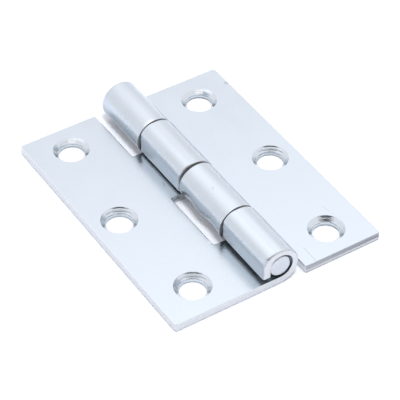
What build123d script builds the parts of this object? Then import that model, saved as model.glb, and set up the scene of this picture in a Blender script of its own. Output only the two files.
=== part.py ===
from build123d import *
from math import acos, degrees
import os

os.makedirs("parts", exist_ok=True)

# Butt hinge of pressed steel, lying open and flat, with its knuckles and countersinks upwards.
# Frame: +X across the hinge to the right leaf, +Y along the pin, +Z up.
# Origin: on the floor, under the pin's axis, at the middle of the hinge's length.

# Leaves: one stamping, used twice, the right one turned half a turn about Z
leaf_length = 64.0
open_width = 50.4
sheet = 2.0
knuckle_end_corner = 0.6
notched_end_corner = 1.2

# Pin: plain, held by the left leaf's knuckles and free to turn in the right leaf's
pin_diameter = 4.7
pin_recess = 0.05
pin_chamfer = 0.25
pin_grip = 0.01
pin_running_gap = 0.03

# Knuckles: the sheet is rolled round the pin and ends in a straight leg that comes down beside it
knuckles = 4
eye_play = 0.6
eye_shift = 0.1
side_wall = 1.55
crown_wall = 1.3
leg_wall = 1.8
leg_bend = 2.4
eye_bend = 2.0
end_leg_lift = 1.0
inner_leg_lift = 0.5

# Room between the knuckles of the two leaves, which sit a little out of line lengthwise
knuckle_gap = 0.5
end_shift = 0.25
notch_gap = 1.6
notch_corner = 0.5

# Edges broken by the punch, the outer side of the sheet more than the inner one
outer_edge = 0.35
inner_edge = 0.12

# Countersunk screw holes, three in each leaf, set in from its free edge and its ends
holes = 3
hole_diameter = 5.8
sink_diameter = 8.1
sink_angle = 90.0
end_hole_margin = 8.95
middle_hole_margin = 6.35
hole_end_margin = 7.3
hole_pattern_shift = 0.3

# Worked out from the sizes above
half_length = leaf_length / 2
half_width = open_width / 2
pitch = leaf_length / knuckles
pin_radius = pin_diameter / 2
eye_radius = pin_radius + eye_play
pin_height = sheet + eye_radius
barrel_radius = (sheet + 2 * eye_radius + crown_wall) / 2
barrel_reach = eye_shift + eye_radius + side_wall
barrel_x = barrel_reach - barrel_radius
notch_x = -(barrel_reach + notch_gap)
same = 0.001


def knuckle_span(index):
    """Near and far ends along Y of the knuckle with this number, counted from the near end."""
    near = -half_length + index * pitch
    far = near + pitch
    if index > 0:
        near += knuckle_gap / 2
    if index < knuckles - 1:
        far -= knuckle_gap / 2
    return near, far


def blank(own):
    """Flat sheet of the left leaf, with a tongue for each of its own knuckles."""
    outline = Pos((notch_x - half_width) / 2, 0) * Rectangle(half_width + notch_x, leaf_length)
    for index in own:
        near, far = knuckle_span(index)
        outline += Pos(notch_x / 2, (near + far) / 2) * Rectangle(-notch_x, far - near)
    at_notches = outline.vertices().filter_by_position(Axis.X, notch_x - same, notch_x + same)
    outline = fillet(at_notches, notch_corner)
    near_corner = outline.vertices().sort_by_distance((-half_width, -half_length))[0]
    outline = fillet(near_corner, knuckle_end_corner)
    far_corner = outline.vertices().sort_by_distance((-half_width, half_length))[0]
    outline = fillet(far_corner, notched_end_corner)
    return extrude(outline, sheet)


def rolled_section(leg_inner, leg_tip):
    """Section of a left knuckle: tongue, round barrel, straight leg, and the eye left between them."""
    leg_outer = leg_inner + leg_wall
    barrel_top = 2 * barrel_radius
    eye_arc = degrees(acos(-(leg_inner + eye_shift) / eye_radius))
    barrel = CenterArc((barrel_x, barrel_radius), barrel_radius, -90, 180)
    eye = CenterArc((eye_shift, pin_height), eye_radius, -90, 90 + eye_arc)
    leg = Polyline(
        barrel @ 1,
        (-leg_outer, barrel_top),
        (-leg_outer, leg_tip),
        (-leg_inner, leg_tip),
        eye @ 1,
    )
    tongue = Polyline(eye @ 0, (notch_x, sheet), (notch_x, 0), barrel @ 0)
    section = make_face(barrel + leg + eye + tongue)
    section = fillet(section.vertices().sort_by_distance((-leg_outer, barrel_top))[0], leg_bend)
    return fillet(section.vertices().sort_by_distance(eye @ 1)[0], eye_bend)


def rim(body, flat_z, leg_x, radii):
    """Edges round one side of the sheet: its flat face, its rolled faces and its leg's face."""
    faces = body.faces()
    side = faces.filter_by(Plane.XY).filter_by_position(Axis.Z, flat_z - same, flat_z + same)
    side += faces.filter_by(Plane.YZ).filter_by_position(Axis.X, leg_x - same, leg_x + same)
    for face in faces.filter_by(GeomType.CYLINDER):
        if min(abs(face.radius - radius) for radius in radii) < same:
            side.append(face)
    edges = [edge for face in side for edge in face.edges()]
    return [edge for edge in edges if sum(edge.is_same(other) for other in edges) == 1]


def screw_holes():
    """The countersunk holes of the left leaf, with the middle ones nearer its free edge."""
    first = -half_length + hole_end_margin
    step = (leaf_length - 2 * hole_end_margin) / (holes - 1)
    tools = []
    for index in range(holes):
        margin = end_hole_margin if index in (0, holes - 1) else middle_hole_margin
        place = Pos(-half_width + margin, first + index * step + hole_pattern_shift, sheet)
        tools.append(
            place * CounterSinkHole(hole_diameter / 2, sink_diameter / 2, sheet, sink_angle)
        )
    return tools


def leaf(own, leg_inner):
    """Left leaf with the given knuckles, its legs' inner faces this far from the pin's axis."""
    body = blank(own)
    for index in own:
        near, far = knuckle_span(index)
        at_end = index in (0, knuckles - 1)
        leg_tip = sheet + (end_leg_lift if at_end else inner_leg_lift)
        plane = Plane.XZ.offset(-far)
        body += extrude(plane * rolled_section(leg_inner, leg_tip), far - near)
    outer_rim = rim(body, 0, -(leg_inner + leg_wall), (barrel_radius, leg_bend))
    body = body.chamfer(outer_edge, None, outer_rim)
    inner_rim = rim(body, sheet, -leg_inner, (eye_radius, eye_bend))
    body = body.chamfer(inner_edge, None, inner_rim)
    return body - screw_holes()


def hinge_pin():
    """Plain pin, a little short of the knuckles' outer ends."""
    length = leaf_length - end_shift - 2 * pin_recess
    bar = Cylinder(pin_radius, length)
    bar = chamfer(bar.edges().filter_by(GeomType.CIRCLE), pin_chamfer)
    return Pos(0, 0, pin_height) * Rot(90, 0, 0) * bar


# Knuckles are counted from the near end: the left leaf has the first, and they take turns
left_own = range(0, knuckles, 2)
right_own = [knuckles - 1 - index for index in range(1, knuckles, 2)]
left_leaf = Pos(0, end_shift / 2, 0) * leaf(left_own, pin_radius - pin_grip)
right_leaf = Pos(0, -end_shift / 2, 0) * Rot(0, 0, 180) * leaf(right_own, pin_radius + pin_running_gap)

export_step(left_leaf, "parts/left_leaf.step")
export_step(right_leaf, "parts/right_leaf.step")
export_step(hinge_pin(), "parts/hinge_pin.step")
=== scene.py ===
import math

import bmesh
import bpy
from mathutils import Matrix, Vector, geometry


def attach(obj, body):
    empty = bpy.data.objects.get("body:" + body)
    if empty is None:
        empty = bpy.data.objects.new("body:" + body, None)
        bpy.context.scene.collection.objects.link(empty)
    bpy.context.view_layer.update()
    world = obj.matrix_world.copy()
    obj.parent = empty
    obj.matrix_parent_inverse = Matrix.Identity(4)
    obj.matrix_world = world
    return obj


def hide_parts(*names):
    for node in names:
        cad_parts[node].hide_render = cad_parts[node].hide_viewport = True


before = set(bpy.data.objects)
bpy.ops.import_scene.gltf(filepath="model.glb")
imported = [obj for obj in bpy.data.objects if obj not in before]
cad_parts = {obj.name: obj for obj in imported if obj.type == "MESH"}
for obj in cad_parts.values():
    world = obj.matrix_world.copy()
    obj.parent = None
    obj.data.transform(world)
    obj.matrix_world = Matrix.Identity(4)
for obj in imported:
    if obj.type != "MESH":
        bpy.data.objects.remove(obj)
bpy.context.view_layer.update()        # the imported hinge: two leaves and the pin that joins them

scene = bpy.context.scene
scene.view_settings.view_transform = "Standard"
mm = 0.001


# The photographer's place: near the hinge's near left corner, 43 degrees up, with a long lens.
# Found by fitting a camera to the leaves' edges, the knuckles' seams and the rims of the holes.
image_px = 400
focal_px = 1981.4
azimuth = math.radians(-32.57)
elevation = math.radians(43.01)
distance = 424.69 * mm
target = Vector((-0.06, 0.125, 0)) * mm
target_px = (195.55, 194.73)
sensor_width = 36
clip_range = (0.01, 20)

toward = Vector((
    math.sin(azimuth) * math.cos(elevation),
    -math.cos(azimuth) * math.cos(elevation),
    math.sin(elevation),
))
right = Vector((math.cos(azimuth), math.sin(azimuth), 0))
up = toward.cross(right)
px_here = distance / focal_px
aside_px, down_px = (place - image_px / 2 for place in target_px)
camera_place = target + toward * distance - right * aside_px * px_here + up * down_px * px_here
facing = Matrix((right, up, toward)).transposed().to_4x4()
lens = bpy.data.cameras.new("camera")
lens.sensor_width = sensor_width
lens.lens = focal_px / image_px * sensor_width
lens.clip_start, lens.clip_end = clip_range
camera = bpy.data.objects.new("camera", lens)
camera.matrix_world = Matrix.Translation(camera_place) @ facing
scene.collection.objects.link(camera)
scene.camera = camera


# White paper on a table: it shows white, and keeps the hinge's soft shadow.
# The camera and the metal see it a little brighter than it is lit, as an overexposed white is.
floor_size = 6.0
paper_glow = 0.08


def linear(hex_colour):
    """Linear colour with alpha of an sRGB hex value such as #e0e6f0."""
    parts = [int(hex_colour[i : i + 2], 16) / 255 for i in (1, 3, 5)]
    return [c / 12.92 if c <= 0.04045 else ((c + 0.055) / 1.055) ** 2.4 for c in parts] + [1]


def node(tree, kind, inputs=(), **settings):
    """Adds a node. Its inputs come by name in a dict, or by order in a list.

    Each takes a value, a socket, or the first output of another node. An index switch gets as
    many choices as it has inputs after its first.
    """
    made = tree.nodes.new(kind)
    for name, value in settings.items():
        setattr(made, name, value)
    if kind == "GeometryNodeIndexSwitch":
        while len(made.index_switch_items) < len(inputs) - 1:
            made.index_switch_items.new()
    given_inputs = inputs if isinstance(inputs, dict) else dict(enumerate(inputs))
    for key, value in given_inputs.items():
        if isinstance(key, int):
            socket = made.inputs[key]
        else:
            socket = next(s for s in made.inputs if s.name == key and s.enabled)
        if isinstance(value, bpy.types.Node):
            value = next(s for s in value.outputs if s.enabled)
        if isinstance(value, bpy.types.NodeSocket):
            tree.links.new(value, socket)
        else:
            socket.default_value = value
    return made


floor_paper = bpy.data.materials.new("white_paper")
floor_paper.use_nodes = True
tree = floor_paper.node_tree
tree.nodes.clear()
rays = node(tree, "ShaderNodeLightPath").outputs
seen = node(
    tree,
    "ShaderNodeMath",
    [rays["Is Camera Ray"], rays["Is Glossy Ray"]],
    operation="ADD",
)
seen = node(
    tree,
    "ShaderNodeMath",
    [seen, rays["Is Transmission Ray"]],
    operation="ADD",
    use_clamp=True,
)
glow_share = node(tree, "ShaderNodeMath", [seen, paper_glow], operation="MULTIPLY")
paper = node(tree, "ShaderNodeBsdfDiffuse", {"Color": linear("#d0d3d9")})
white = node(tree, "ShaderNodeEmission", {"Color": linear("#ffffff"), "Strength": 1.0})
mixed = node(tree, "ShaderNodeMixShader", [glow_share, paper, white])
node(tree, "ShaderNodeOutputMaterial", {"Surface": mixed})

half = floor_size / 2
floor_corners = [(-half, -half, 0), (half, -half, 0), (half, half, 0), (-half, half, 0)]
floor_mesh = bpy.data.meshes.new("floor")
floor_mesh.from_pydata(floor_corners, [], [(0, 1, 2, 3)])
floor_mesh.materials.append(floor_paper)
floor = bpy.data.objects.new("floor", floor_mesh)
scene.collection.objects.link(floor)


# A light tent of white cloth, with a dark opening, wider than it is high, where the camera looks
# in. A wide softbox with a bright middle hangs behind and above the hinge, and a lamp lights the
# paper alone.
tent_cloth = "#f8f5f7"
tent_level = 1.2
opening_dark = "#22262b"
opening_width = math.sin(math.radians(42))
opening_height = math.sin(math.radians(11))
opening_starts = 1.3
opening_full = 0.5
world = bpy.data.worlds.new("light_tent")
world.use_nodes = True
scene.world = world
tree = world.node_tree
tree.nodes.clear()
rays = node(tree, "ShaderNodeLightPath").outputs
ray_way = node(tree, "ShaderNodeTexCoord").outputs["Generated"]
aside, above, ahead = [
    node(tree, "ShaderNodeVectorMath", [ray_way, way], operation="DOT_PRODUCT")
    for way in (right / opening_width, up / opening_height, toward)
]
aside_squared = node(tree, "ShaderNodeMath", [aside, 2.0], operation="POWER")
above_squared = node(tree, "ShaderNodeMath", [above, 2.0], operation="POWER")
off_centre = node(tree, "ShaderNodeMath", [aside_squared, above_squared], operation="ADD")
within = node(
    tree,
    "ShaderNodeMapRange",
    {"Value": off_centre, "From Min": opening_starts, "From Max": opening_full},
    interpolation_type="SMOOTHSTEP",
)
in_front = node(tree, "ShaderNodeMath", [ahead, 0.0], operation="GREATER_THAN")
opening = node(tree, "ShaderNodeMath", [within, in_front], operation="MULTIPLY")
tent = node(
    tree,
    "ShaderNodeMix",
    {"Factor": opening, "A": linear(tent_cloth), "B": linear(opening_dark)},
    data_type="RGBA",
)
tent_light = node(tree, "ShaderNodeBackground", {"Color": tent, "Strength": tent_level})
white_light = node(tree, "ShaderNodeBackground", {"Color": linear("#ffffff"), "Strength": 1.0})
mixed = node(tree, "ShaderNodeMixShader", [rays["Is Camera Ray"], tent_light, white_light])
node(tree, "ShaderNodeOutputWorld", {"Surface": mixed})

softbox_size = (1.34, 0.58)
softbox_level = 0.61
softbox_place = Vector((0.11, 0.18, 0.35))
softbox_light = bpy.data.lights.new("softbox", "AREA")
softbox_light.shape = "RECTANGLE"
softbox_light.size, softbox_light.size_y = softbox_size
softbox_light.energy = softbox_level * math.pi * softbox_size[0] * softbox_size[1]
softbox_light.use_nodes = True
tree = softbox_light.node_tree
tree.nodes.clear()
cloth_place = node(tree, "ShaderNodeNewGeometry").outputs["Parametric"]
from_middle = node(
    tree,
    "ShaderNodeVectorMath",
    [cloth_place, (2, 2, 0), (-1, -1, 0)],
    operation="MULTIPLY_ADD",
)
from_middle = node(tree, "ShaderNodeVectorMath", [from_middle], operation="LENGTH")
glow = node(
    tree,
    "ShaderNodeMapRange",
    {"Value": from_middle, "From Min": 1.0, "From Max": 0.0},
    interpolation_type="SMOOTHSTEP",
)
lit_cloth = node(tree, "ShaderNodeEmission", {"Strength": glow})
node(tree, "ShaderNodeOutputLight", {"Surface": lit_cloth})
softbox = bpy.data.objects.new("softbox", softbox_light)
softbox.matrix_world = Matrix.Translation(softbox_place)
softbox.visible_camera = False
scene.collection.objects.link(softbox)

lamp_way = Vector((-0.1, -0.3, 0.95))
paper_light = bpy.data.lights.new("paper_light", "SUN")
paper_light.energy = 2.9
paper_light.angle = math.radians(14)
paper_lamp = bpy.data.objects.new("paper_light", paper_light)
paper_lamp.matrix_world = lamp_way.to_track_quat("Z", "Y").to_matrix().to_4x4()
paper_lamp.visible_glossy = False
scene.collection.objects.link(paper_lamp)


# Bright zinc plate on cold-rolled steel, with a clear blue passivation: a pale bluish silver with
# a satin gloss, a little cloudy, finely grained by the rolls, and brighter where edges are rubbed.
# The grain and the roll marks are drawn coarser than the real ones, so that they show.
cloud_size = 7 * mm
grain_size = 0.3 * mm
roll_mark_width = 0.35 * mm
roll_mark_length = 14 * mm
drag_mark_width = 0.25 * mm
drag_mark_length = 4 * mm
chatter_size = 0.7 * mm
streak_height = 0.45 * mm
streak_length = 40 * mm
streak_span = (0.4, 0.6)
streak_darkening = (0.55, 1.0)
zinc = bpy.data.materials.new("bright_zinc_plated_steel")
zinc.use_nodes = True
tree = zinc.node_tree
tree.nodes.clear()
place = node(tree, "ShaderNodeTexCoord").outputs["Object"]
cloud, grain, chatter = [
    node(tree, "ShaderNodeTexNoise", {"Vector": place, "Scale": 1 / size, "Detail": detail})
    for size, detail in ((cloud_size, 3.0), (grain_size, 2.0), (chatter_size, 1.0))
]

# Marks that run one way: by the rolls along the leaves, by the punch up and down the cut edges, and
# streaks along those edges, which vary the bare steel and the painted shade there.
marks_running = [
    ((roll_mark_width, roll_mark_length, roll_mark_width), 2.0),
    ((drag_mark_width, drag_mark_width, drag_mark_length), 2.0),
    ((streak_length, streak_length, streak_height), 1.0),
]
roll_marks, drag_marks, streaks = [
    node(
        tree,
        "ShaderNodeTexNoise",
        {
            "Vector": node(
                tree,
                "ShaderNodeMapping",
                {"Vector": place, "Scale": [1 / size for size in mark_size]},
            ),
            "Scale": 1.0,
            "Detail": detail,
        },
    )
    for mark_size, detail in marks_running
]
streaks = node(
    tree,
    "ShaderNodeMapRange",
    {
        "Value": streaks,
        "From Min": streak_span[0],
        "From Max": streak_span[1],
        "To Min": streak_darkening[0],
        "To Max": streak_darkening[1],
    },
)


def marked(marks):
    """How much of these marks there is here, each with two ends, a half width and a depth."""
    total = 0.0
    for start, end, width, depth in marks:
        start, end = Vector(start) * mm, Vector(end) * mm
        way = end - start
        from_start = node(tree, "ShaderNodeVectorMath", [place, start], operation="SUBTRACT")
        run = node(
            tree,
            "ShaderNodeVectorMath",
            [from_start, way / way.length_squared],
            operation="DOT_PRODUCT",
        )
        run = node(tree, "ShaderNodeMath", [run, 0.0], operation="ADD", use_clamp=True)
        nearest = node(tree, "ShaderNodeVectorMath", {0: way, "Scale": run}, operation="SCALE")
        away = node(tree, "ShaderNodeVectorMath", [from_start, nearest], operation="DISTANCE")
        faded = node(
            tree,
            "ShaderNodeMapRange",
            {"Value": away, "From Min": width * mm, "From Max": 0.0},
            interpolation_type="SMOOTHSTEP",
        )
        total = node(
            tree,
            "ShaderNodeMath",
            [faded, depth, total],
            operation="MULTIPLY_ADD",
            use_clamp=True,
        )
    return total


# Dark marks and painted glints, in millimetres on the hinge: a few dull scuffs, with painted shade
# and painted reflection by the knuckles and in their slots.
scuffs_and_painted_shade = [
    ((-5.0, 5.4, 2), (-5.3, 4.1, 2), 0.25, 0.5),
    ((19.4, -19.0, 2), (19.8, -21.1, 2), 0.25, 0.13),
    ((24.5, 26.2, 2), (24.7, 25.8, 2), 0.5, 0.5),
    ((9.0, -27.4, 2), (8.9, -31.9, 2), 0.3, 0.2),
    # Painted reflection of the dark slots, on the leaf by the two notch corners.
    ((-4.8, 16.4, 2), (-5.6, 13.6, 2), 0.9, 0.8),
    ((-4.4, -16.6, 2), (-4.9, -18.4, 2), 0.8, 0.8),
    # Two small dark marks, on a knuckle's end face and on a crown.
    ((-2.9, -31.4, 8.2), (-2.7, -31.5, 8.3), 0.5, 0.8),
    ((-1.1, -8.2, 9.1), (-1.2, -8.5, 9.1), 0.3, 0.6),
    # Painted shade along the far knuckles' lower sides, and painted shade in the notch's end.
    ((-4.3, -14.4, 3.4), (-4.3, -1.9, 3.4), 2.8, 0.6),
    ((-4.3, 17.6, 3.4), (-4.3, 32.0, 3.4), 2.8, 0.6),
    ((-6.3, 0.3, 1.1), (-4.4, 0.3, 1.1), 1.1, 1.0),
]
# Painted highlights: small bright glints on a knuckle's near rim, by a leg's foot, by a notch, and
# on two holes' back walls.
painted_glints = [
    ((-2.4, 16.9, 8.6), (-0.6, 16.9, 9.2), 0.75, 0.55),
    ((-4.0, -16.8, 2.2), (-3.8, -17.6, 2.6), 0.5, 1.0),
    ((-5.8, -14.0, 2), (-6.4, -15.6, 2), 0.7, 0.8),
    ((17.6, 27.5, 1.4), (18.6, 26.9, 1.4), 0.75, 1.0),
    ((-14.9, 28.4, 1.4), (-13.9, 27.8, 1.4), 0.75, 1.0),
]
worn, cut, tooled, bare_and_painted_shade = [
    node(tree, "ShaderNodeAttribute", attribute_name=name).outputs["Fac"]
    for name in ("worn", "cut", "tooled", "bare_and_painted_shade")
]
tooled_light = 0.3
cut_grey = 0.6
metal_colour = node(
    tree,
    "ShaderNodeMix",
    {"Factor": cloud, "A": linear("#c1cbd3"), "B": linear("#c9d2da")},
    data_type="RGBA",
)
colour_layers = [
    (node(tree, "ShaderNodeMath", [tooled, tooled_light], operation="MULTIPLY"), "#e2e8eb"),
    (worn, "#d3dae1"),
    (node(tree, "ShaderNodeMath", [cut, cut_grey], operation="MULTIPLY"), "#d0cfd0"),
    # Dark marks: a few scuffs, and painted shade and painted reflection by the knuckles.
    (marked(scuffs_and_painted_shade), "#7d868c"),
    # Painted highlights.
    (marked(painted_glints), "#eef3f5"),
    # Bare bands on the sheared end, and painted shade along the edges' bottom lines and in the hole
    # bores.
    (node(tree, "ShaderNodeMath", [bare_and_painted_shade, streaks], operation="MULTIPLY"), "#5b5d64"),
]
for amount, colour in colour_layers:
    metal_colour = node(
        tree,
        "ShaderNodeMix",
        {"Factor": amount, "A": metal_colour, "B": linear(colour)},
        data_type="RGBA",
    )

# A satin gloss, higher where the cloud is thin and in the tooled holes, over very shallow relief:
# each pattern has a strength and a depth.
cloud_span = (0.3, 0.7)
satin = (0.24, 0.33)
tooled_gloss = -0.08
cut_dirt = -0.15
gloss = node(
    tree,
    "ShaderNodeMapRange",
    {
        "Value": cloud,
        "From Min": cloud_span[0],
        "From Max": cloud_span[1],
        "To Min": satin[0],
        "To Max": satin[1],
    },
)
gloss = node(tree, "ShaderNodeMath", [tooled, tooled_gloss, gloss], operation="MULTIPLY_ADD")
clean_metal = node(tree, "ShaderNodeMath", [cut, cut_dirt, 1.0], operation="MULTIPLY_ADD")
relief_layers = [
    (grain, 0.3, 0.002 * mm),
    (roll_marks, 0.5, 0.002 * mm),
    (drag_marks, cut, 0.015 * mm),
    (chatter, tooled, 0.03 * mm),
]
relief = None
for height, strength, depth in relief_layers:
    bump = {"Height": height, "Strength": strength, "Distance": depth}
    if relief:
        bump["Normal"] = relief
    relief = node(tree, "ShaderNodeBump", bump)
surface = node(
    tree,
    "ShaderNodeBsdfPrincipled",
    {
        "Base Color": metal_colour,
        "Metallic": clean_metal,
        "Roughness": gloss,
        "Normal": relief,
    },
)
node(tree, "ShaderNodeOutputMaterial", {"Surface": surface})


# The leaves: one stamping of 2 mm sheet used twice, the right one turned half a turn. It is punched
# flat with a tongue for each of its two knuckles, and its edges are broken by the punch: the end
# with the notch sharply, the rest softly. The tongues are then rolled round the pin.
half_length = 32.0
half_width = 25.2
sheet = 2.0
notch_x = -6.2
notch_corner = 0.5
near_corner = 0.6
far_corner = 0.6
tip_corner = 0.5
tongues = [(-half_length, -16.63, 3.0), (0.12, 15.96, 2.5)]

# The rolled section: two quarters of the barrel, a flat crown, a bend, and the leg to its tip.
barrel_radius = 4.6
eye_shift = 0.1
eye_radius = 2.95
eye_top = sheet + 2 * eye_radius
leg_wall = 1.8
leg_bend = 3.2
eye_bend = 2.3
lowest_tip = 2.5
quarter_gap = 0.02
flat_crown = 1.75

# How far the edges are rounded: at the knuckles' seams, their near rims and their legs' tips,
# round the plate on its back and its face, and at the sheared end, which has a small step.
seam_edge = 0.14
inner_edge = 0.14
near_rim_edges = (0.55, 0.32)
rim_fade = 0.5
tip_edge = 0.45
tip_line = 20.0
plate_edge = 0.3
plate_face_edge = 0.24
notch_blend = 3.0
sharp_edge = 0.06
sheared_back = 0.24
shear_height = 0.75
shear_step = 0.07
sheared_reach = 0.2

# Rubbing, cut metal and bare steel on the lines of the edge, from the back to the face. The dark on
# the bottom lines is painted shade where the edge meets the floor, and the sheared end has bare
# bands higher up.
edge_worn = (1.0, 1.0, 1.0, 0.2, 0.2, 0.2, 0.2, 1.0, 1.0, 1.0)
edge_cut = (0.3, 0.3, 0.3, 1.0, 1.0, 1.0, 1.0, 0.3, 0.3, 0.3)
edge_painted_shade = (0.4, 0.4, 0.3, 0.0, 0.0, 0.0, 0.0, 0.0, 0.0, 0.0)
sheared_bare_and_shade = (1.0, 1.0, 1.0, 0.3, 0.0, 0.85, 0.6, 1.0, 1.0, 0.0)

# Screw holes: three in a row, the middle one nearer the free edge, with a lip round the back.
hole_count = 3
hole_radius = 2.9
sink_radius = 4.05
hole_lip = 0.22
first_hole = (-16.25, -24.4)
hole_step = 24.7
middle_hole_shift = -2.6

# How finely the blank is divided, and how near to each other its lines may come.
corner_steps = 20
outline_steps = 6
edge_steps = 4
hole_facets = 96
row_parts = 8
run_spacing = 1.6
plate_line_count = int((half_width + notch_x) / run_spacing)
plate_lines = [-half_width + run_spacing * (k + 1) for k in range(plate_line_count)]
same = 0.001
stop_room = 0.05
end_room = 0.1


def row_places():
    """Distance across the blank of each station of the section, from the notch to the leg's tip."""
    barrel_step = barrel_radius * math.pi / 2 / corner_steps
    bend_step = leg_bend * math.pi / 2 / corner_steps
    gaps = [-notch_x] + [barrel_step] * corner_steps
    gaps += [quarter_gap] + [barrel_step] * corner_steps
    gaps += [flat_crown] + [bend_step] * corner_steps
    gaps += [2 * barrel_radius - leg_bend - lowest_tip]
    places = [notch_x]
    for gap in gaps:
        places.append(places[-1] + gap)
    return places


def station_at(x, places):
    """Station of a point of the blank, a number that counts the rows and the parts between them."""
    if x <= places[0]:
        return 0.0
    for index, (before, after) in enumerate(zip(places, places[1:])):
        if x <= after:
            return index + (x - before) / (after - before)
    return len(places) - 1.0


def walk_outline(corners, lines):
    """Points round the blank with the way inwards at each, corners rounded and runs divided."""
    loop = []
    count = len(corners)
    for index in range(count):
        before, here, after = (Vector(corners[(index + k) % count][:2]) for k in (-1, 0, 1))
        radius = corners[index][2]
        come = (here - before).normalized()
        go = (after - here).normalized()
        inward_before = Vector((-come.y, come.x))
        inward_after = Vector((-go.y, go.x))
        side = 1 if come.cross(go) > 0 else -1
        centre = here - come * radius + inward_before * radius * side
        for k in range(outline_steps + 1):
            turn = math.pi / 2 * k / outline_steps
            inward = inward_before * math.cos(turn) + inward_after * math.sin(turn)
            loop.append((centre - inward * radius * side, inward))
        start = here + go * radius
        end = after - go * corners[(index + 1) % count][2]
        if abs(go.x) > abs(go.y):
            low, high = sorted((start.x, end.x))
            kept_lines = [x for x in lines if low + stop_room < x < high - stop_room]
            stops = [Vector((x, start.y)) for x in kept_lines]
            if go.x < 0:
                stops.reverse()
        else:
            parts = max(1, round((end - start).length / run_spacing))
            stops = [start.lerp(end, k / parts) for k in range(1, parts)]
        loop.extend((stop, inward_after) for stop in stops)
    return loop


def held(value):
    """The value, held between none and all."""
    return min(max(value, 0), 1)


def edge_profile(x, y):
    """Inset and height of each line of the cut edge at this point, from the back to the face."""
    on_tongue = held((x - notch_x) / notch_blend)
    sharp = held((y - half_length + far_corner) / far_corner)
    tongue_edge = seam_edge
    for (near, _, _), rim_edge in zip(tongues, near_rim_edges):
        if y > near - end_room:
            tongue_edge += (rim_edge - seam_edge) * held(1 - (y - near) / rim_fade)
    if x > tip_line:
        tongue_edge = tip_edge
    back = plate_edge + (tongue_edge - plate_edge) * on_tongue
    back += (sheared_back - back) * sharp
    face = plate_face_edge + (inner_edge - plate_face_edge) * on_tongue
    face += (sharp_edge - face) * sharp
    step = shear_step * sharp
    turns = [math.pi / 2 * k / edge_steps for k in range(edge_steps + 1)]
    lines = [(back * (1 - math.sin(turn)), back * (1 - math.cos(turn))) for turn in turns]
    lines += [(0, shear_height), (step, shear_height + shear_step)]
    for turn in turns:
        lines.append((step + face * (1 - math.cos(turn)), sheet - face * (1 - math.sin(turn))))
    return lines


def hole_centres():
    """Centres of the screw holes, every other one set nearer the free edge."""
    return [
        Vector((first_hole[0] + middle_hole_shift * (index % 2), first_hole[1] + hole_step * index))
        for index in range(hole_count)
    ]


def fill(loop, height, radius, places, flip):
    """Vertices and faces of one side of the blank, rows across its tongues and holes left open."""
    points = list(loop)
    edges = [(k, (k + 1) % len(loop)) for k in range(len(loop))]
    for centre in hole_centres():
        start = len(points)
        for k in range(hole_facets):
            turn = 2 * math.pi * k / hole_facets
            points.append(centre + Vector((math.cos(turn), math.sin(turn))) * radius)
            edges.append((start + k, start + (k + 1) % hole_facets))
    for near, far, _ in tongues:
        for x in places[1:]:
            ends = [
                k for k, point in enumerate(loop)
                if abs(point.x - x) < same and near - end_room < point.y < far + end_room
            ]
            if len(ends) != 2:
                continue
            row = [ends[0]]
            for k in range(1, row_parts):
                row.append(len(points))
                points.append(loop[ends[0]].lerp(loop[ends[1]], k / row_parts))
            row.append(ends[1])
            edges.extend(zip(row, row[1:]))
    inside_only = 1
    merged_within = 1e-5
    filled = geometry.delaunay_2d_cdt(points, edges, [], inside_only, merged_within)
    flat, _, faces, sources, _, _ = filled
    kept = []
    for face in faces:
        centre = sum((flat[k] for k in face), Vector((0, 0))) / len(face)
        if min((centre - hole).length for hole in hole_centres()) > radius:
            corners = [sources[k][0] for k in face]
            kept.append(corners[::-1] if flip else corners)
    return [(point.x, point.y, height) for point in points], kept


def punched_blank(name):
    """The flat blank in metres, its holes open, with each vertex's station, wear and painted shade
    kept on it.
    """
    places = row_places()
    corners = [(-half_width, -half_length, near_corner)]
    for near, far, tip in tongues:
        tip_x = places[-1] - (tip - lowest_tip)
        if near > -half_length:
            corners.append((notch_x, near, notch_corner))
        corners.append((tip_x, near, tip_corner))
        corners.append((tip_x, far, tip_corner))
        corners.append((notch_x, far, notch_corner))
    corners.append((notch_x, half_length, notch_corner))
    corners.append((-half_width, half_length, far_corner))
    loop = walk_outline(corners, sorted(plate_lines + places[1:]))
    profiles = [edge_profile(point.x, point.y) for point, _ in loop]
    levels = len(profiles[0])
    rings = []
    for level in range(levels):
        insets = [profile[level][0] for profile in profiles]
        rings.append([point + inward * inset for (point, inward), inset in zip(loop, insets)])
    back, back_faces = fill(rings[0], 0.0, hole_radius + hole_lip, places, True)
    face, face_faces = fill(rings[-1], sheet, sink_radius, places, False)
    vertices = back + face
    faces = back_faces + [[k + len(back) for k in corner] for corner in face_faces]
    wear_and_painted_shade = {key: [0.0] * len(vertices) for key in ("worn", "cut", "bare_and_painted_shade")}
    starts = [0]
    for level in range(1, levels - 1):
        starts.append(len(vertices))
        for point, profile in zip(rings[level], profiles):
            vertices.append((point.x, point.y, profile[level][1]))
            bare_and_shade_lines = sheared_bare_and_shade if point.y > half_length - sheared_reach else edge_painted_shade
            for key, lines in (("worn", edge_worn), ("cut", edge_cut), ("bare_and_painted_shade", bare_and_shade_lines)):
                wear_and_painted_shade[key].append(lines[level - 1])
    starts.append(len(back))
    count = len(loop)
    for low, high in zip(starts, starts[1:]):
        for k in range(count):
            after = (k + 1) % count
            faces.append([low + k, low + after, high + after, high + k])
    mesh = bpy.data.meshes.new(name)
    mesh.from_pydata([Vector(v) * mm for v in vertices], [], faces)
    values = {"station": [station_at(v[0], places) for v in vertices], **wear_and_painted_shade}
    for key, numbers in values.items():
        layer = mesh.attributes.new(key, "FLOAT", "POINT")
        layer.data.foreach_set("value", numbers)
    sides = len(back_faces) + len(face_faces)
    layer = mesh.attributes.new("side", "FLOAT", "FACE")
    layer.data.foreach_set("value", [1.0 if k < sides else 0.0 for k in range(len(faces))])
    return mesh


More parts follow.
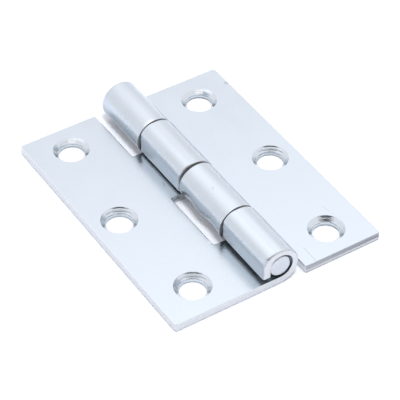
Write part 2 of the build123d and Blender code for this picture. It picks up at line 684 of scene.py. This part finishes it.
# The press tools: one rolls the blank's tongues along the section's two outlines, and one sets the
# wall of each countersunk hole, stepped by the tool on its chatter side and plain on the other. The
# plain hole has hardly any steps, and the reamed one has a smoother wall there with a bend in it.
leg_inner = 2.34
press_sizes = {
    "Notch": notch_x,
    "Sheet": sheet,
    "Barrel Radius": barrel_radius,
    "Eye Shift": eye_shift,
    "Eye Radius": eye_radius,
    "Eye Top": eye_top,
    "Leg Inner": leg_inner,
    "Leg Outer": leg_inner + leg_wall,
    "Leg Bend": leg_bend,
    "Eye Bend": eye_bend,
    "Leg Tip": lowest_tip,
    "Hole Radius": hole_radius,
    "Sink Radius": sink_radius,
    "Hole Lip": hole_lip,
    "First Hole X": first_hole[0],
    "First Hole Y": first_hole[1],
    "Hole Step": hole_step,
    "Middle Hole Shift": middle_hole_shift,
    "Wave Height": 0.06,
    "Wave Length": 7.0,
    "Ripple Height": 0.0,
    "Ripple Length": 8.6,
    "Ripple Crest": 7.6,
}
press_counts = {
    "Corner Steps": corner_steps,
    "Holes": hole_count,
    "Hole Facets": hole_facets,
    "Plain Hole": -1,
    "Reamed Hole": -1,
    "Seed": 4,
}
press_inputs = [(name, "NodeSocketFloat", size * mm) for name, size in press_sizes.items()]
press_inputs += [(name, "NodeSocketFloat", 0.0) for name in ("Over Roll", "Chatter Side")]
press_inputs += [(name, "NodeSocketInt", count) for name, count in press_counts.items()]
press = bpy.data.node_groups.new("press_tools", "GeometryNodeTree")
press.interface.new_socket("Geometry", in_out="OUTPUT", socket_type="NodeSocketGeometry")
press.interface.new_socket("Blank", in_out="INPUT", socket_type="NodeSocketGeometry")
for name, kind, value in press_inputs:
    socket = press.interface.new_socket(name, in_out="INPUT", socket_type=kind)
    socket.default_value = value
press.interface.new_socket("Material", in_out="INPUT", socket_type="NodeSocketMaterial")
given = node(press, "NodeGroupInput").outputs


def section_line(reach, low, high, radius, bend, leg_x):
    """One outline of the rolled section: along the sheet, round the barrel, and down the leg."""
    index = node(press, "GeometryNodeInputIndex")
    leg = node(press, "ShaderNodeMath", [leg_x, -1.0], operation="MULTIPLY")
    middle_x = node(press, "ShaderNodeMath", [reach, radius], operation="SUBTRACT")
    middle_z = node(press, "ShaderNodeMath", [low, radius], operation="ADD")
    centre = node(press, "ShaderNodeCombineXYZ", [middle_x, 0.0, middle_z])
    over_roll = given["Over Roll"]
    rise = node(press, "ShaderNodeMath", [over_roll, 0.5, math.pi / 4], operation="MULTIPLY_ADD")
    rise = node(press, "ShaderNodeMath", [rise], operation="TANGENT")
    crown = node(press, "ShaderNodeMath", [radius, rise, middle_z], operation="MULTIPLY_ADD")
    back_turn = node(press, "ShaderNodeMath", [over_roll, -1.0], operation="MULTIPLY")
    sheet_corners = [
        node(press, "ShaderNodeCombineXYZ", [x, 0.0, z])
        for x, z in ((given["Notch"], low), (reach, low), (reach, crown))
    ]
    leg_corners = [
        node(
            press,
            "ShaderNodeVectorRotate",
            {
                "Vector": node(press, "ShaderNodeCombineXYZ", [leg, 0.0, z]),
                "Center": centre,
                "Angle": back_turn,
            },
            rotation_type="Y_AXIS",
        )
        for z in (high, given["Leg Tip"])
    ]
    corners = sheet_corners + leg_corners
    corner = node(press, "GeometryNodeIndexSwitch", [index, *corners], data_type="VECTOR")
    points = node(press, "GeometryNodeMeshLine", {"Count": len(corners)})
    placed = node(press, "GeometryNodeSetPosition", {"Geometry": points, "Position": corner})
    line = node(press, "GeometryNodeMeshToCurve", [placed])
    radii = [0.0, radius, radius, bend, 0.0]
    radii = node(press, "GeometryNodeIndexSwitch", [index, *radii], data_type="FLOAT")
    return node(
        press,
        "GeometryNodeFilletCurve",
        {"Curve": line, "Radius": radii, "Count": given["Corner Steps"]},
        mode="POLY",
    )


def along(line, station):
    """Place on an outline at a station, between the two rows next to it."""
    line_place = node(press, "GeometryNodeInputPosition")
    row = node(press, "ShaderNodeMath", [station], operation="FLOOR")
    next_row = node(press, "ShaderNodeMath", [row, 1.0], operation="ADD")
    before, after = [
        node(
            press,
            "GeometryNodeSampleIndex",
            {"Geometry": line, "Value": line_place, "Index": index},
            data_type="FLOAT_VECTOR",
            domain="POINT",
            clamp=True,
        )
        for index in (row, next_row)
    ]
    part = node(press, "ShaderNodeMath", [station], operation="FRACT")
    return node(
        press,
        "ShaderNodeMix",
        {"Factor": part, "A": before, "B": after},
        data_type="VECTOR",
    )


barrel_top = node(press, "ShaderNodeMath", [given["Barrel Radius"], 2.0], operation="MULTIPLY")
outer_line = section_line(
    given["Barrel Radius"],
    0.0,
    barrel_top,
    given["Barrel Radius"],
    given["Leg Bend"],
    given["Leg Outer"],
)
eye_reach = node(
    press,
    "ShaderNodeMath",
    [given["Eye Shift"], given["Eye Radius"]],
    operation="ADD",
)
inner_line = section_line(
    eye_reach,
    given["Sheet"],
    given["Eye Top"],
    given["Eye Radius"],
    given["Eye Bend"],
    given["Leg Inner"],
)
station = node(
    press,
    "GeometryNodeInputNamedAttribute",
    {"Name": "station"},
    data_type="FLOAT",
).outputs[0]
blank_place = node(press, "GeometryNodeInputPosition")
blank_place = node(press, "ShaderNodeSeparateXYZ", [blank_place]).outputs
through = node(press, "ShaderNodeMath", [blank_place["Z"], given["Sheet"]], operation="DIVIDE")
rolled = node(
    press,
    "ShaderNodeMix",
    {"Factor": through, "A": along(outer_line, station), "B": along(inner_line, station)},
    data_type="VECTOR",
)
rolled = node(press, "ShaderNodeSeparateXYZ", [rolled]).outputs
on_tongue = node(
    press,
    "FunctionNodeCompare",
    {"A": station, "B": 0.0},
    data_type="FLOAT",
    operation="GREATER_THAN",
)
rolled_place = node(
    press,
    "ShaderNodeCombineXYZ",
    [rolled["X"], blank_place["Y"], rolled["Z"]],
)
leaf_body = node(
    press,
    "GeometryNodeSetPosition",
    {"Geometry": given["Blank"], "Selection": on_tongue, "Position": rolled_place},
)

# Rings of the hole's wall: round the lip under it, then up the bore and out along the cone, whose
# fine steps are the tool's. Each is so far out from the bore and so far up the sheet.
lip_rings = [(1.0, 0.0), (0.3, 0.3), (0.0, 1.0)]
tool_steps = [
    (0.0, 0.165),
    (0.05, 0.24),
    (0.15, 0.45),
    (0.2, 0.49),
    (0.4, 0.575),
    (0.43, 0.595),
    (0.49, 0.635),
    (0.51, 0.65),
    (0.58, 0.76),
    (0.61, 0.785),
    (0.77, 0.85),
    (0.8, 0.865),
    (0.94, 0.95),
    (0.97, 0.98),
    (1.0, 1.0),
]
first_step = len(lip_rings)
hole_levels = first_step + len(tool_steps)
cone_reach = node(
    press,
    "ShaderNodeMath",
    [given["Sink Radius"], given["Hole Radius"]],
    operation="SUBTRACT",
)
wall_rings = [(given["Hole Lip"], given["Hole Lip"], *ring) for ring in lip_rings]
wall_rings += [(cone_reach, given["Sheet"], *ring) for ring in tool_steps]
ring_radii = [
    node(
        press,
        "ShaderNodeMath",
        [reach, outwards, given["Hole Radius"]],
        operation="MULTIPLY_ADD",
    )
    for reach, _, outwards, _ in wall_rings
]
ring_heights = [
    node(press, "ShaderNodeMath", [height, upwards], operation="MULTIPLY")
    for _, height, _, upwards in wall_rings
]
index = node(press, "GeometryNodeInputIndex")
level = node(press, "ShaderNodeMath", [index, hole_levels], operation="MODULO")
across = node(press, "GeometryNodeIndexSwitch", [level, *ring_radii], data_type="FLOAT")
depth = node(press, "GeometryNodeIndexSwitch", [level, *ring_heights], data_type="FLOAT")
turn = node(press, "ShaderNodeMath", [index, hole_levels], operation="DIVIDE")
turn = node(press, "ShaderNodeMath", [turn], operation="FLOOR")
turn = node(press, "ShaderNodeMath", [turn, given["Hole Facets"]], operation="DIVIDE")
turn = node(press, "ShaderNodeMath", [turn, 2 * math.pi], operation="MULTIPLY")

# The wall's other shapes: a plain cone, and a reamed wall whose lower part is steeper. Its slopes
# are the tangents of 30 and 60 degrees.
chatter_starts = 0.45
chatter_full = 0.92
reamed_slope = -0.577
reamed_foot_slope = -1.73
reamed_foot_rise = 0.66 * mm
from_chatter = node(press, "ShaderNodeMath", [turn, given["Chatter Side"]], operation="SUBTRACT")
from_chatter = node(press, "ShaderNodeMath", [from_chatter], operation="COSINE")
chattered = node(
    press,
    "ShaderNodeMapRange",
    {"Value": from_chatter, "From Min": chatter_starts, "From Max": chatter_full},
    interpolation_type="SMOOTHSTEP",
)
in_cone = node(press, "ShaderNodeMath", [level, first_step + 0.5], operation="GREATER_THAN")
plain_share = node(press, "ShaderNodeMath", [1.0, chattered], operation="SUBTRACT")
plain_share = node(press, "ShaderNodeMath", [plain_share, in_cone], operation="MULTIPLY")
cone_foot = node(
    press,
    "ShaderNodeMath",
    [given["Sheet"], given["Sink Radius"]],
    operation="SUBTRACT",
)
plain_cone = node(press, "ShaderNodeMath", [across, cone_foot], operation="ADD")
below_rim = node(press, "ShaderNodeMath", [given["Sink Radius"], across], operation="SUBTRACT")
foot_start = node(press, "ShaderNodeMath", [given["Sheet"], reamed_foot_rise], operation="ADD")
reamed_parts = [
    node(press, "ShaderNodeMath", [below_rim, slope, start], operation="MULTIPLY_ADD")
    for slope, start in ((reamed_slope, given["Sheet"]), (reamed_foot_slope, foot_start))
]
reamed = node(press, "ShaderNodeMath", reamed_parts, operation="MINIMUM")
reamed = node(
    press,
    "ShaderNodeMix",
    {"Factor": chattered, "A": plain_cone, "B": reamed},
    data_type="FLOAT",
)
stepped_depth, plain_depth, reamed_depth = [
    node(press, "ShaderNodeMix", {"Factor": share, "A": depth, "B": cone}, data_type="FLOAT")
    for share, cone in ((plain_share, plain_cone), (in_cone, plain_cone), (in_cone, reamed))
]

ring_count = node(press, "ShaderNodeMath", [given["Hole Facets"], 1.0], operation="ADD")
wall_grid = node(
    press,
    "GeometryNodeMeshGrid",
    {"Vertices X": ring_count, "Vertices Y": hole_levels},
)
wall_x, wall_y = [
    node(
        press,
        "ShaderNodeMath",
        [across, node(press, "ShaderNodeMath", [turn], operation=way)],
        operation="MULTIPLY",
    )
    for way in ("COSINE", "SINE")
]
wall_place = node(press, "ShaderNodeCombineXYZ", [wall_x, wall_y, stepped_depth])
hole_wall = node(
    press,
    "GeometryNodeSetPosition",
    {"Geometry": wall_grid, "Position": wall_place},
)

# The whole wall is drawn lighter, and the short bore under it partly darker: painted shade along
# the hole's bottom rim.
bore_painted_shade = 0.6
above_back = node(press, "ShaderNodeMath", [level, 0.5], operation="GREATER_THAN")
below_face = node(press, "ShaderNodeMath", [level, hole_levels - 1.5], operation="LESS_THAN")
inside_rims = node(press, "ShaderNodeMath", [above_back, below_face], operation="MULTIPLY")
in_bore = node(press, "ShaderNodeMath", [level, first_step + 0.5], operation="LESS_THAN")
in_bore = node(press, "ShaderNodeMath", [in_bore, inside_rims], operation="MULTIPLY")
kept_values = {
    "tooled": inside_rims,
    "bare_and_painted_shade": node(press, "ShaderNodeMath", [in_bore, bore_painted_shade], operation="MULTIPLY"),
    "plain_depth": plain_depth,
    "reamed_depth": reamed_depth,
}
for key, value in kept_values.items():
    hole_wall = node(
        press,
        "GeometryNodeStoreNamedAttribute",
        {"Geometry": hole_wall, "Name": key, "Value": value},
        data_type="FLOAT",
        domain="POINT",
    )
row_start = node(
    press,
    "ShaderNodeCombineXYZ",
    [given["First Hole X"], given["First Hole Y"], 0.0],
)
to_next_hole = node(press, "ShaderNodeCombineXYZ", [0.0, given["Hole Step"], 0.0])
hole_row = node(
    press,
    "GeometryNodeMeshLine",
    {"Count": given["Holes"], "Start Location": row_start, "Offset": to_next_hole},
)
index = node(press, "GeometryNodeInputIndex")
every_other = node(press, "ShaderNodeMath", [index, 2.0], operation="MODULO")
set_over = node(
    press,
    "ShaderNodeMath",
    [every_other, given["Middle Hole Shift"]],
    operation="MULTIPLY",
)
set_over = node(press, "ShaderNodeCombineXYZ", [set_over, 0.0, 0.0])
hole_row = node(press, "GeometryNodeSetPosition", {"Geometry": hole_row, "Offset": set_over})
hole_walls = node(
    press,
    "GeometryNodeInstanceOnPoints",
    {"Points": hole_row, "Instance": hole_wall},
)
hole_walls = node(press, "GeometryNodeRealizeInstances", [hole_walls])

wall_place = node(press, "GeometryNodeInputPosition")
wall_place = node(press, "ShaderNodeSeparateXYZ", [wall_place]).outputs
depth = wall_place["Z"]
half_step = node(press, "ShaderNodeMath", [given["Hole Step"], 0.5], operation="MULTIPLY")
smoother_holes = [("Plain Hole", "plain_depth", 0.75), ("Reamed Hole", "reamed_depth", 0.9)]
for which, depth_name, smoothness in smoother_holes:
    hole_y = node(
        press,
        "ShaderNodeMath",
        [given["Hole Step"], given[which], given["First Hole Y"]],
        operation="MULTIPLY_ADD",
    )
    from_hole = node(press, "ShaderNodeMath", [wall_place["Y"], hole_y], operation="SUBTRACT")
    from_hole = node(press, "ShaderNodeMath", [from_hole], operation="ABSOLUTE")
    in_hole = node(press, "ShaderNodeMath", [from_hole, half_step], operation="LESS_THAN")
    share = node(press, "ShaderNodeMath", [in_hole, smoothness], operation="MULTIPLY")
    smoother = node(
        press,
        "GeometryNodeInputNamedAttribute",
        {"Name": depth_name},
        data_type="FLOAT",
    )
    depth = node(
        press,
        "ShaderNodeMix",
        {"Factor": share, "A": depth, "B": smoother},
        data_type="FLOAT",
    )
wall_place = node(press, "ShaderNodeCombineXYZ", [wall_place["X"], wall_place["Y"], depth])
hole_walls = node(
    press,
    "GeometryNodeSetPosition",
    {"Geometry": hole_walls, "Position": wall_place},
)
joined = node(press, "GeometryNodeJoinGeometry")
for part in (leaf_body, hole_walls):
    press.links.new(part.outputs[0], joined.inputs[0])
welded = node(
    press,
    "GeometryNodeMergeByDistance",
    {"Geometry": joined, "Distance": same * mm},
)

# The rolled knuckles wave a little, and one has a ripple along its lower side, which fades in and
# out between these stations.
ripple_fades = [(3.0, 12.0), (28.0, 19.0)]
wave_scale = node(press, "ShaderNodeMath", [1.0, given["Wave Length"]], operation="DIVIDE")
wave = node(
    press,
    "ShaderNodeTexNoise",
    {"W": given["Seed"], "Scale": wave_scale, "Detail": 1.0},
    noise_dimensions="4D",
)
past_notch = node(press, "ShaderNodeMath", [station, 1.0], operation="MINIMUM")
wave = node(press, "ShaderNodeMath", [wave, past_notch], operation="MULTIPLY")
inwards = node(press, "ShaderNodeMath", [given["Wave Height"], -1.0], operation="MULTIPLY")
sink_in = node(press, "ShaderNodeMath", [wave, inwards], operation="MULTIPLY")
from_crest = node(
    press,
    "ShaderNodeMath",
    [blank_place["Y"], given["Ripple Crest"]],
    operation="SUBTRACT",
)
ripple = node(press, "ShaderNodeMath", [from_crest, given["Ripple Length"]], operation="DIVIDE")
ripple = node(press, "ShaderNodeMath", [ripple, 2 * math.pi], operation="MULTIPLY")
ripple = node(press, "ShaderNodeMath", [ripple], operation="COSINE")
ripple = node(press, "ShaderNodeMath", [ripple, 0.5, -0.5], operation="MULTIPLY_ADD")
rippled = [
    node(
        press,
        "ShaderNodeMapRange",
        {"Value": station, "From Min": none, "From Max": full},
        interpolation_type="SMOOTHSTEP",
    )
    for none, full in ripple_fades
]
rippled.append(node(press, "ShaderNodeMath", [blank_place["Y"], 0.0], operation="GREATER_THAN"))
for share in rippled:
    ripple = node(press, "ShaderNodeMath", [ripple, share], operation="MULTIPLY")
sink_in = node(
    press,
    "ShaderNodeMath",
    [ripple, given["Ripple Height"], sink_in],
    operation="MULTIPLY_ADD",
)
way_out = node(press, "GeometryNodeInputNormal")
offset = node(
    press,
    "ShaderNodeVectorMath",
    {0: way_out, "Scale": sink_in},
    operation="SCALE",
)
waved = node(press, "GeometryNodeSetPosition", {"Geometry": welded, "Offset": offset})
smooth = node(press, "GeometryNodeSetShadeSmooth", {"Geometry": waved})
finished = node(
    press,
    "GeometryNodeSetMaterial",
    {"Geometry": smooth, "Material": given["Material"]},
)
finished = node(press, "GeometryNodeRealizeInstances", [finished])
node(press, "NodeGroupOutput", [finished])


def plain_mesh(piece):
    """The piece's mesh with its modifiers in it."""
    graph = bpy.context.evaluated_depsgraph_get()
    mesh = bpy.data.meshes.new_from_object(piece.evaluated_get(graph))
    piece.modifiers.clear()
    return mesh


def keep_sides_flat(mesh):
    """Keeps the sheet's sides flat right up to their rounded edges, and smooths the rest."""
    side_weight = 1000
    normals = [Vector() for _ in mesh.vertices]
    for face, side in zip(mesh.polygons, mesh.attributes["side"].data):
        weight = face.area * (side_weight if side.value else 1)
        for k in face.vertices:
            normals[k] += face.normal * weight
    mesh.normals_split_custom_set_from_vertices([normal.normalized() for normal in normals])


def pressed_leaf(name, body, cad_node, turn, shift, **chosen):
    """A finished leaf at its place, riding on its body, with these settings of the press."""
    leaf = bpy.data.objects.new(name, punched_blank(name))
    scene.collection.objects.link(leaf)
    modifier = leaf.modifiers.new("press_tools", "NODES")
    modifier.node_group = press
    for item in press.interface.items_tree:
        setting = item.name.lower().replace(" ", "_")
        if item.item_type == "SOCKET" and item.in_out == "INPUT" and setting in chosen:
            modifier[item.identifier] = chosen[setting]
    leaf.data = plain_mesh(leaf)
    leaf_place = Matrix.Translation((0, shift * mm, 0)) @ Matrix.Rotation(turn, 4, "Z")
    leaf.data.transform(leaf_place)
    shape = bmesh.new()
    shape.from_mesh(leaf.data)
    bmesh.ops.recalc_face_normals(shape, faces=shape.faces)
    shape.to_mesh(leaf.data)
    shape.free()
    keep_sides_flat(leaf.data)
    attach(leaf, body)
    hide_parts(cad_node)
    return leaf


# The leaves sit a little out of line lengthwise, and the tool chattered on the same side of all
# the holes. The right leaf's knuckles are rolled a few degrees too far, with clear legs.
end_shift = 0.125
chatter_side = math.radians(57)
right_leg_inner = 2.38
pressed_leaf(
    "zinc_leaf_left",
    "left",
    "left_leaf",
    0.0,
    end_shift,
    chatter_side=chatter_side,
    reamed_hole=2,
    material=zinc,
)
pressed_leaf(
    "zinc_leaf_right",
    "right",
    "right_leaf",
    math.pi,
    -end_shift,
    leg_inner=right_leg_inner * mm,
    leg_outer=(right_leg_inner + leg_wall) * mm,
    leg_bend=4.0 * mm,
    over_roll=math.radians(6),
    wave_height=0.15 * mm,
    wave_length=9.0 * mm,
    ripple_height=0.38 * mm,
    chatter_side=chatter_side - math.pi,
    plain_hole=2,
    reamed_hole=0,
    seed=9,
    material=zinc,
)


# The pin: plain drawn steel bar, cropped and chamfered at both ends, gripped by the left leaf's
# knuckles. Cropping swelled its near end and pushed it a little aside. It is zinc plated too, so it
# is the leaves' bluish silver, with a cloudy gloss.
pin_cloud_size = 1.5 * mm
pin_cloud_depth = 0.01 * mm
pin_satin = (0.25, 0.4)
pin_steel = bpy.data.materials.new("zinc_plated_drawn_steel")
pin_steel.use_nodes = True
tree = pin_steel.node_tree
tree.nodes.clear()
place = node(tree, "ShaderNodeTexCoord").outputs["Object"]
cloud = node(
    tree,
    "ShaderNodeTexNoise",
    {"Vector": place, "Scale": 1 / pin_cloud_size, "Detail": 3.0},
)
pin_colour = node(
    tree,
    "ShaderNodeMix",
    {"Factor": cloud, "A": linear("#c2c7cd"), "B": linear("#d0d4d9")},
    data_type="RGBA",
)
pin_gloss = node(
    tree,
    "ShaderNodeMapRange",
    {"Value": cloud, "To Min": pin_satin[0], "To Max": pin_satin[1]},
)
pin_relief = node(
    tree,
    "ShaderNodeBump",
    {"Strength": 0.5, "Distance": pin_cloud_depth, "Height": cloud},
)
surface = node(
    tree,
    "ShaderNodeBsdfPrincipled",
    {
        "Base Color": pin_colour,
        "Metallic": 1.0,
        "Roughness": pin_gloss,
        "Normal": pin_relief,
    },
)
node(tree, "ShaderNodeOutputMaterial", {"Surface": surface})

# The bar, whose end is a flat face with a chamfer, both corners of it a little rounded.
pin_radius = 2.35
pin_half = 31.825
pin_height = 4.95
pin_chamfer = 0.25
pin_facets = 96
face_middle = 1.2
corner_run = 0.05
corner_drop = 0.02
straight_from = 4.0
swollen_end = 1.0
swollen = 1.045
pushed = Vector((0.12, 0, 0.06))
face_radius = pin_radius - pin_chamfer
end_profile = [
    (0.0, 0.0),
    (face_middle, 0.0),
    (face_radius - corner_run, corner_drop),
    (face_radius, corner_run),
    (pin_radius - corner_run, pin_chamfer - corner_drop),
    (pin_radius, pin_chamfer + corner_run),
    (pin_radius, straight_from),
]
profile = [(radius, -pin_half + depth) for radius, depth in end_profile]
profile += [(radius, pin_half - depth) for radius, depth in reversed(end_profile)]
pin_shape = bmesh.new()
rings = []
for radius, y in profile:
    facets = pin_facets if radius else 1
    ring = []
    for k in range(facets):
        turn = 2 * math.pi * k / pin_facets
        way_out = Vector((math.sin(turn), 0, math.cos(turn)))
        ring_place = Vector((0, y, pin_height)) + way_out * radius
        if y < swollen_end - pin_half:
            ring_place += pushed + way_out * radius * (swollen - 1)
        ring.append(pin_shape.verts.new(ring_place * mm))
    rings.append(ring)
for ring, next_ring in zip(rings, rings[1:]):
    for k in range(pin_facets):
        corners = [ring[i % len(ring)] for i in (k, k + 1)]
        corners += [next_ring[i % len(next_ring)] for i in (k + 1, k)]
        pin_shape.faces.new(list(dict.fromkeys(corners)))
bmesh.ops.recalc_face_normals(pin_shape, faces=pin_shape.faces)
for face in pin_shape.faces:
    face.smooth = True
pin_mesh = bpy.data.meshes.new("steel_pin")
pin_shape.to_mesh(pin_mesh)
pin_shape.free()
pin_mesh.materials.append(pin_steel)
pin = bpy.data.objects.new("steel_pin", pin_mesh)
scene.collection.objects.link(pin)
pin.modifiers.new("flat_faces", "WEIGHTED_NORMAL")
pin.data = plain_mesh(pin)
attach(pin, "left")
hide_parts("hinge_pin")
